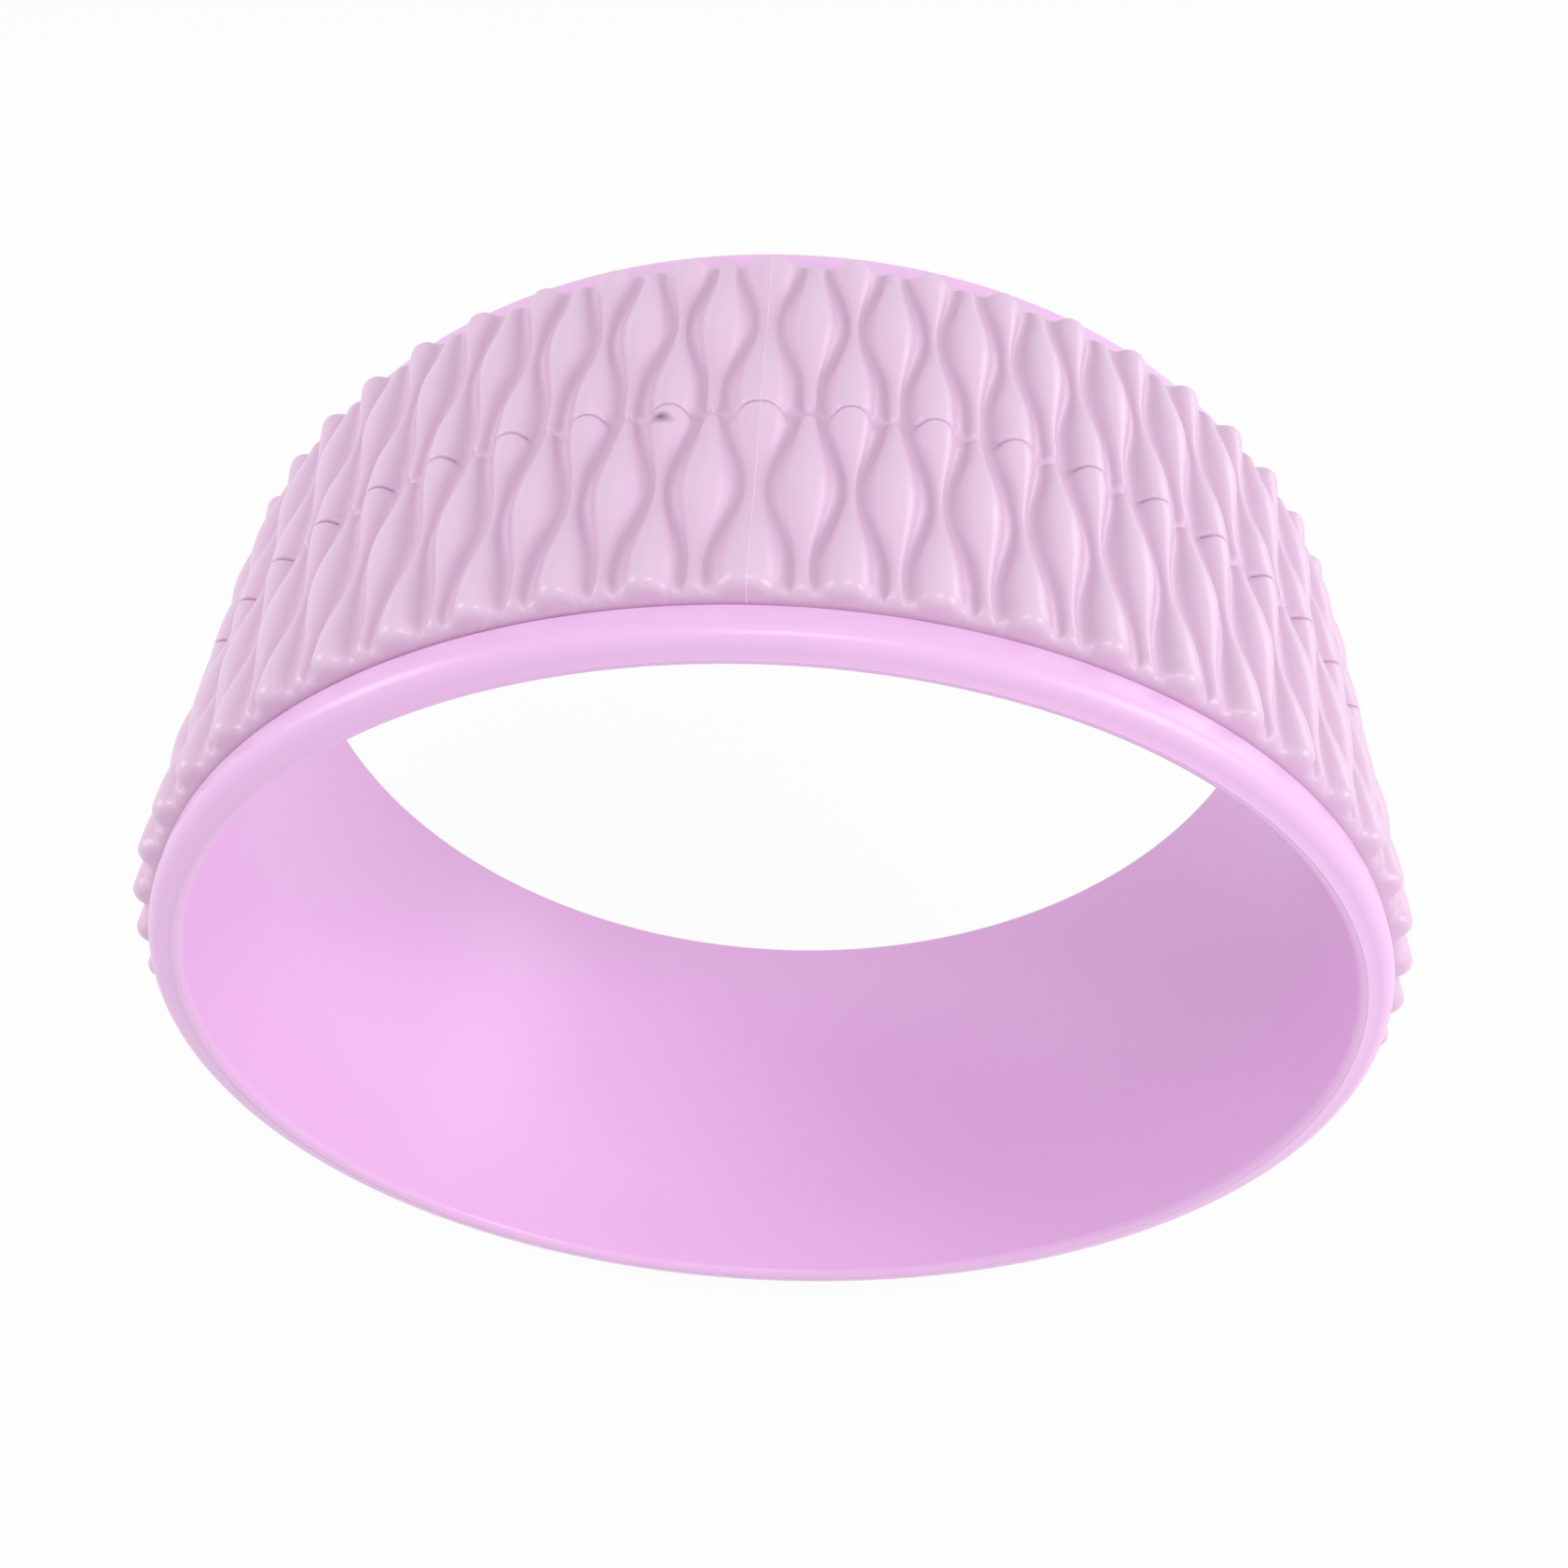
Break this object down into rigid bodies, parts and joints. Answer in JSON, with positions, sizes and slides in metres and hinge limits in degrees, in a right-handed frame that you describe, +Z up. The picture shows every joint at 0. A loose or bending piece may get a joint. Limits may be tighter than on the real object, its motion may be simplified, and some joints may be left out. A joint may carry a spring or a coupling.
{
  "type": "yoga wheel",
  "caption": "Yoga wheel: plastic hoop with rounded rims and a wide open bore, wrapped in a soft strip moulded with rows of gourd-shaped massage ridges.",
  "frame": {"origin": "centre of the wheel: on its axis, midway between the two rim faces", "axes": "+Y along the wheel's axis, towards the heads of the ridges; +Z up through the top of the standing wheel; +X to the right seen from -Y"},
  "size_m": [0.3302, 0.13, 0.3303],
  "materials": {
    "hoop_plastic": "gloss",
    "pad_elastomer": "matte",
    "adhesive": "matte",
    "seam_glue": "satin"
  },
  "bodies": {
    "root": {"hoop": "hoop_plastic", "pad_adhesive": "adhesive", "massage_pad": "pad_elastomer", "seam_bead": "seam_glue"}
  },
  "joints": []
}
